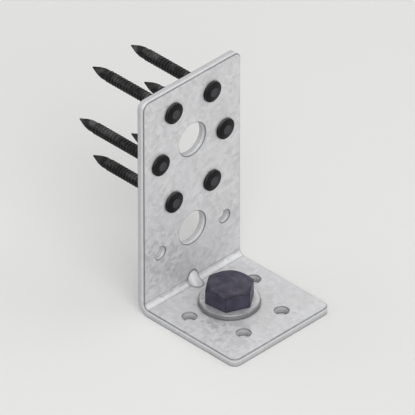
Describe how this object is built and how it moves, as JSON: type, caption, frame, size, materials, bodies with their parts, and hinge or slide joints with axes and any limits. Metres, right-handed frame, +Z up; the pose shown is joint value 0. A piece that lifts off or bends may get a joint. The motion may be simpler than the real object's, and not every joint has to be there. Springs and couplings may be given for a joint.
{
  "type": "angle bracket",
  "caption": "Folded steel angle bracket with a pressed bead in its bend, nailed through its tall leg and held down by a hexagon-head anchor screw on a washer.",
  "frame": {"origin": "on the anchor screw's axis, in the plane of the base's underside", "axes": "+Z up along the tall leg, X along the bend, +Y towards the timber that the leg's back lies against"},
  "size_m": [0.048, 0.085, 0.135],
  "materials": {
    "galvanised_sheet": "galvanised with a fine spangle, matt",
    "zinc_washer": "zinc plated, satin",
    "screw_coating": "blue-black coating, semi-matt",
    "nail_coating": "black coating, semi-matt"
  },
  "bodies": {
    "root": {"angle_bracket": "galvanised_sheet", "washer": "zinc_washer", "anchor_screw": "screw_coating", "nail_top_left": "nail_coating", "nail_top_right": "nail_coating", "nail_middle_left": "nail_coating", "nail_middle_right": "nail_coating", "nail_lower_left": "nail_coating", "nail_lower_right": "nail_coating"}
  },
  "joints": []
}
